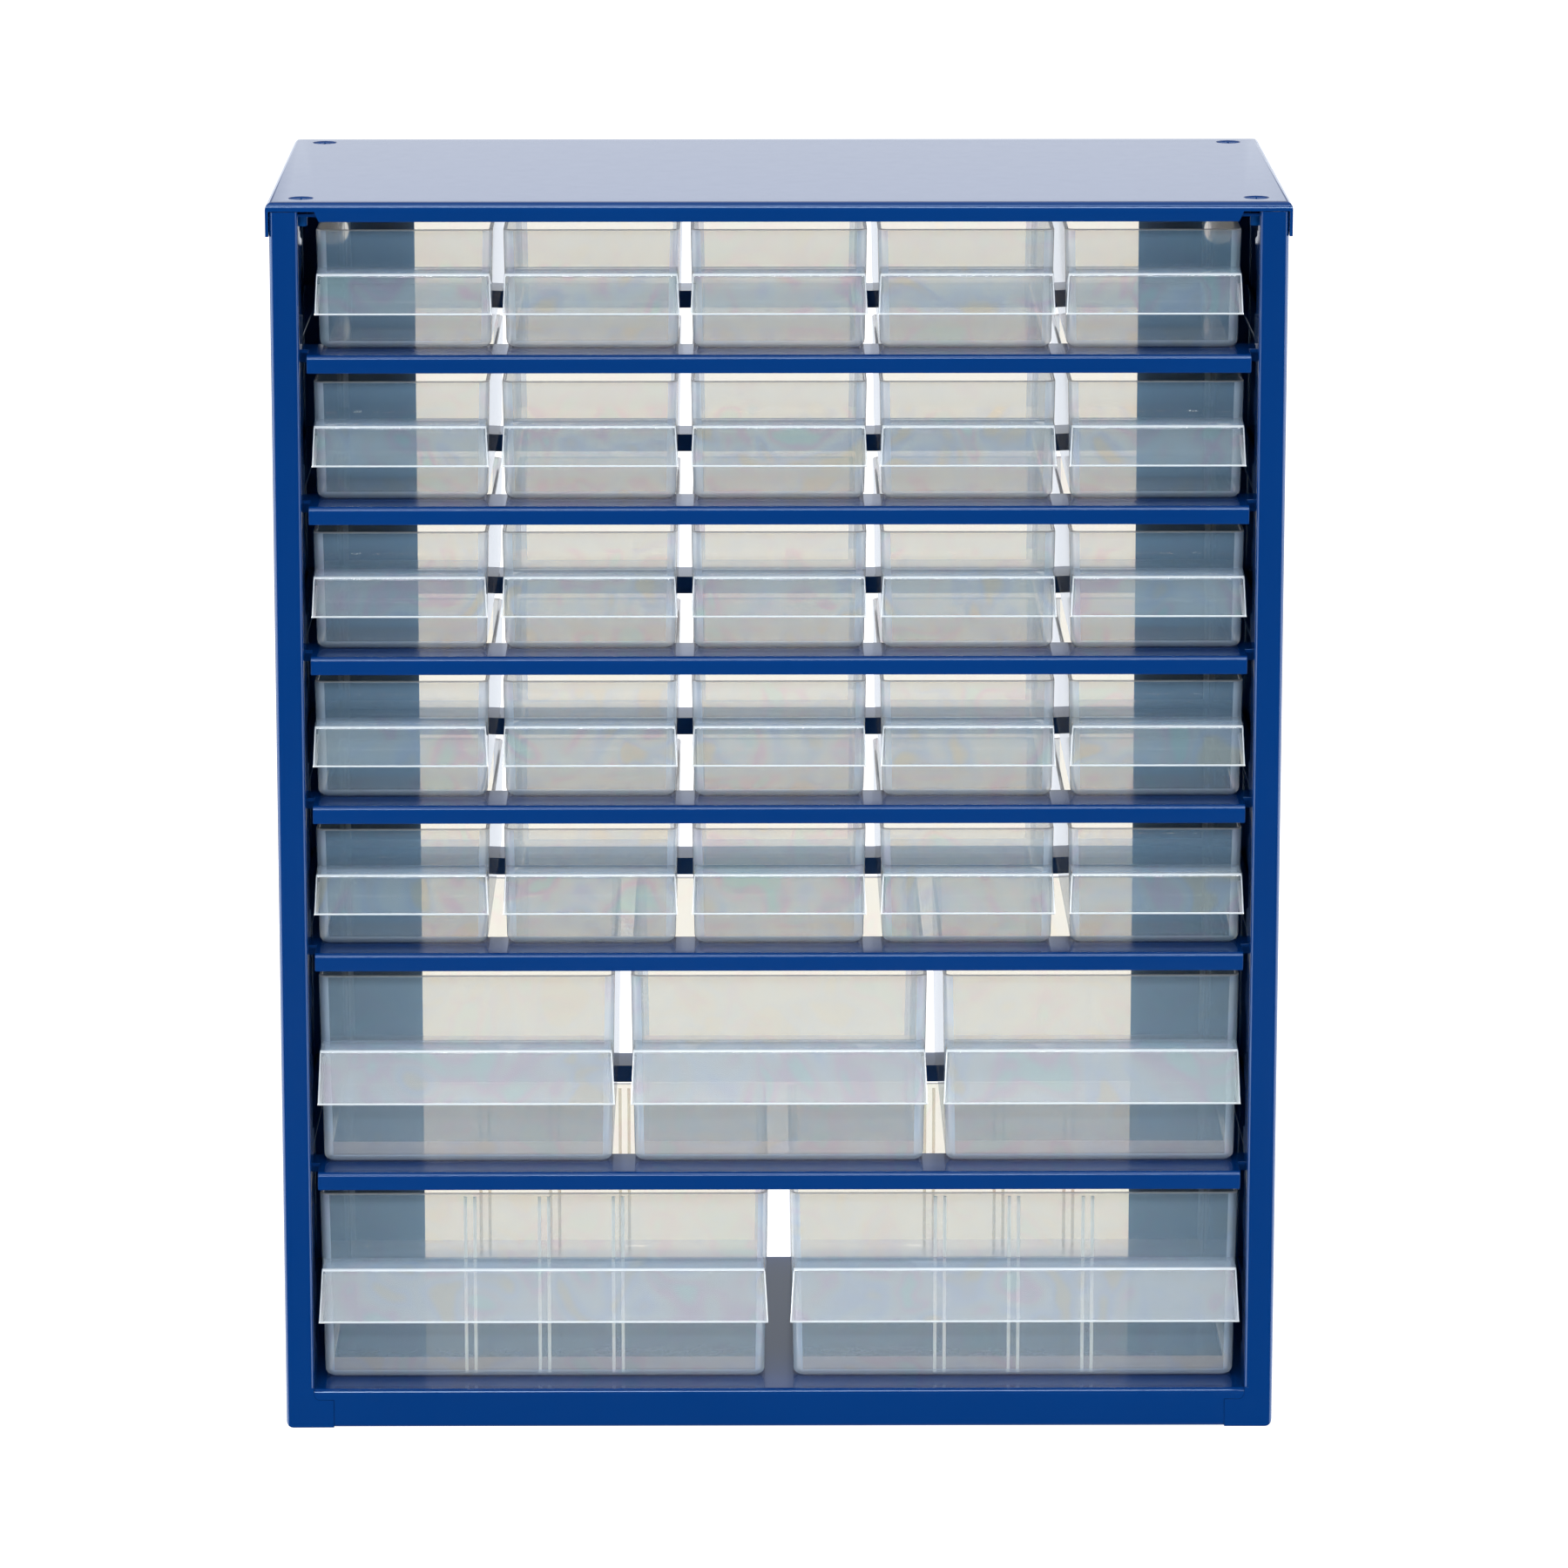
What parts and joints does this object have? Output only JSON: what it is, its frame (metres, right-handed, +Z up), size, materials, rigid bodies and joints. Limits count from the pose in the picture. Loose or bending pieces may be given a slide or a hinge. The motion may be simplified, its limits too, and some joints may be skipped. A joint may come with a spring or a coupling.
{
  "type": "parts organizer",
  "caption": "Wall or bench cabinet for small parts: folded steel case with open back, pressed shelves and clear plastic drawers in three widths that slide out at the front.",
  "frame": {"origin": "middle of the footprint, on the surface that the cabinet stands on", "axes": "+Z up, -Y towards the drawers' handles, +X to the right seen from the front"},
  "size_m": [0.306, 0.15, 0.38],
  "materials": {
    "blue_paint": "gloss blue powder coat on folded steel sheet",
    "screw_paint": "countersunk steel screws, painted over in the same blue",
    "clear_plastic": "milky translucent polypropylene, glossy, with whiter edges"
  },
  "bodies": {
    "cabinet": {"top_panel": "blue_paint", "base_panel": "blue_paint", "side_right": "blue_paint", "side_left": "blue_paint", "shelf_1": "blue_paint", "shelf_2": "blue_paint", "shelf_3": "blue_paint", "shelf_4": "blue_paint", "shelf_5": "blue_paint", "shelf_6": "blue_paint", "top_screw_1": "screw_paint", "top_screw_2": "screw_paint", "top_screw_3": "screw_paint", "top_screw_4": "screw_paint"},
    "large_drawer_1": {"large_drawer_1": "clear_plastic"},
    "large_drawer_2": {"large_drawer_2": "clear_plastic"},
    "medium_drawer_1": {"medium_drawer_1": "clear_plastic"},
    "medium_drawer_2": {"medium_drawer_2": "clear_plastic"},
    "medium_drawer_3": {"medium_drawer_3": "clear_plastic"},
    "small_drawer_row1_1": {"small_drawer_row1_1": "clear_plastic"},
    "small_drawer_row1_2": {"small_drawer_row1_2": "clear_plastic"},
    "small_drawer_row1_3": {"small_drawer_row1_3": "clear_plastic"},
    "small_drawer_row1_4": {"small_drawer_row1_4": "clear_plastic"},
    "small_drawer_row1_5": {"small_drawer_row1_5": "clear_plastic"},
    "small_drawer_row2_1": {"small_drawer_row2_1": "clear_plastic"},
    "small_drawer_row2_2": {"small_drawer_row2_2": "clear_plastic"},
    "small_drawer_row2_3": {"small_drawer_row2_3": "clear_plastic"},
    "small_drawer_row2_4": {"small_drawer_row2_4": "clear_plastic"},
    "small_drawer_row2_5": {"small_drawer_row2_5": "clear_plastic"},
    "small_drawer_row3_1": {"small_drawer_row3_1": "clear_plastic"},
    "small_drawer_row3_2": {"small_drawer_row3_2": "clear_plastic"},
    "small_drawer_row3_3": {"small_drawer_row3_3": "clear_plastic"},
    "small_drawer_row3_4": {"small_drawer_row3_4": "clear_plastic"},
    "small_drawer_row3_5": {"small_drawer_row3_5": "clear_plastic"},
    "small_drawer_row4_1": {"small_drawer_row4_1": "clear_plastic"},
    "small_drawer_row4_2": {"small_drawer_row4_2": "clear_plastic"},
    "small_drawer_row4_3": {"small_drawer_row4_3": "clear_plastic"},
    "small_drawer_row4_4": {"small_drawer_row4_4": "clear_plastic"},
    "small_drawer_row4_5": {"small_drawer_row4_5": "clear_plastic"},
    "small_drawer_row5_1": {"small_drawer_row5_1": "clear_plastic"},
    "small_drawer_row5_2": {"small_drawer_row5_2": "clear_plastic"},
    "small_drawer_row5_3": {"small_drawer_row5_3": "clear_plastic"},
    "small_drawer_row5_4": {"small_drawer_row5_4": "clear_plastic"},
    "small_drawer_row5_5": {"small_drawer_row5_5": "clear_plastic"}
  },
  "joints": [
    {"name": "large_drawer_1_slide", "type": "slide", "parent": "cabinet", "child": "large_drawer_1", "axis": [0, -1, 0], "range_m": [0, 0.12]},
    {"name": "large_drawer_2_slide", "type": "slide", "parent": "cabinet", "child": "large_drawer_2", "axis": [0, -1, 0], "range_m": [0, 0.12]},
    {"name": "medium_drawer_1_slide", "type": "slide", "parent": "cabinet", "child": "medium_drawer_1", "axis": [0, -1, 0], "range_m": [0, 0.12]},
    {"name": "medium_drawer_2_slide", "type": "slide", "parent": "cabinet", "child": "medium_drawer_2", "axis": [0, -1, 0], "range_m": [0, 0.12]},
    {"name": "medium_drawer_3_slide", "type": "slide", "parent": "cabinet", "child": "medium_drawer_3", "axis": [0, -1, 0], "range_m": [0, 0.12]},
    {"name": "small_drawer_row1_1_slide", "type": "slide", "parent": "cabinet", "child": "small_drawer_row1_1", "axis": [0, -1, 0], "range_m": [0, 0.12]},
    {"name": "small_drawer_row1_2_slide", "type": "slide", "parent": "cabinet", "child": "small_drawer_row1_2", "axis": [0, -1, 0], "range_m": [0, 0.12]},
    {"name": "small_drawer_row1_3_slide", "type": "slide", "parent": "cabinet", "child": "small_drawer_row1_3", "axis": [0, -1, 0], "range_m": [0, 0.12]},
    {"name": "small_drawer_row1_4_slide", "type": "slide", "parent": "cabinet", "child": "small_drawer_row1_4", "axis": [0, -1, 0], "range_m": [0, 0.12]},
    {"name": "small_drawer_row1_5_slide", "type": "slide", "parent": "cabinet", "child": "small_drawer_row1_5", "axis": [0, -1, 0], "range_m": [0, 0.12]},
    {"name": "small_drawer_row2_1_slide", "type": "slide", "parent": "cabinet", "child": "small_drawer_row2_1", "axis": [0, -1, 0], "range_m": [0, 0.12]},
    {"name": "small_drawer_row2_2_slide", "type": "slide", "parent": "cabinet", "child": "small_drawer_row2_2", "axis": [0, -1, 0], "range_m": [0, 0.12]},
    {"name": "small_drawer_row2_3_slide", "type": "slide", "parent": "cabinet", "child": "small_drawer_row2_3", "axis": [0, -1, 0], "range_m": [0, 0.12]},
    {"name": "small_drawer_row2_4_slide", "type": "slide", "parent": "cabinet", "child": "small_drawer_row2_4", "axis": [0, -1, 0], "range_m": [0, 0.12]},
    {"name": "small_drawer_row2_5_slide", "type": "slide", "parent": "cabinet", "child": "small_drawer_row2_5", "axis": [0, -1, 0], "range_m": [0, 0.12]},
    {"name": "small_drawer_row3_1_slide", "type": "slide", "parent": "cabinet", "child": "small_drawer_row3_1", "axis": [0, -1, 0], "range_m": [0, 0.12]},
    {"name": "small_drawer_row3_2_slide", "type": "slide", "parent": "cabinet", "child": "small_drawer_row3_2", "axis": [0, -1, 0], "range_m": [0, 0.12]},
    {"name": "small_drawer_row3_3_slide", "type": "slide", "parent": "cabinet", "child": "small_drawer_row3_3", "axis": [0, -1, 0], "range_m": [0, 0.12]},
    {"name": "small_drawer_row3_4_slide", "type": "slide", "parent": "cabinet", "child": "small_drawer_row3_4", "axis": [0, -1, 0], "range_m": [0, 0.12]},
    {"name": "small_drawer_row3_5_slide", "type": "slide", "parent": "cabinet", "child": "small_drawer_row3_5", "axis": [0, -1, 0], "range_m": [0, 0.12]},
    {"name": "small_drawer_row4_1_slide", "type": "slide", "parent": "cabinet", "child": "small_drawer_row4_1", "axis": [0, -1, 0], "range_m": [0, 0.12]},
    {"name": "small_drawer_row4_2_slide", "type": "slide", "parent": "cabinet", "child": "small_drawer_row4_2", "axis": [0, -1, 0], "range_m": [0, 0.12]},
    {"name": "small_drawer_row4_3_slide", "type": "slide", "parent": "cabinet", "child": "small_drawer_row4_3", "axis": [0, -1, 0], "range_m": [0, 0.12]},
    {"name": "small_drawer_row4_4_slide", "type": "slide", "parent": "cabinet", "child": "small_drawer_row4_4", "axis": [0, -1, 0], "range_m": [0, 0.12]},
    {"name": "small_drawer_row4_5_slide", "type": "slide", "parent": "cabinet", "child": "small_drawer_row4_5", "axis": [0, -1, 0], "range_m": [0, 0.12]},
    {"name": "small_drawer_row5_1_slide", "type": "slide", "parent": "cabinet", "child": "small_drawer_row5_1", "axis": [0, -1, 0], "range_m": [0, 0.12]},
    {"name": "small_drawer_row5_2_slide", "type": "slide", "parent": "cabinet", "child": "small_drawer_row5_2", "axis": [0, -1, 0], "range_m": [0, 0.12]},
    {"name": "small_drawer_row5_3_slide", "type": "slide", "parent": "cabinet", "child": "small_drawer_row5_3", "axis": [0, -1, 0], "range_m": [0, 0.12]},
    {"name": "small_drawer_row5_4_slide", "type": "slide", "parent": "cabinet", "child": "small_drawer_row5_4", "axis": [0, -1, 0], "range_m": [0, 0.12]},
    {"name": "small_drawer_row5_5_slide", "type": "slide", "parent": "cabinet", "child": "small_drawer_row5_5", "axis": [0, -1, 0], "range_m": [0, 0.12]}
  ]
}
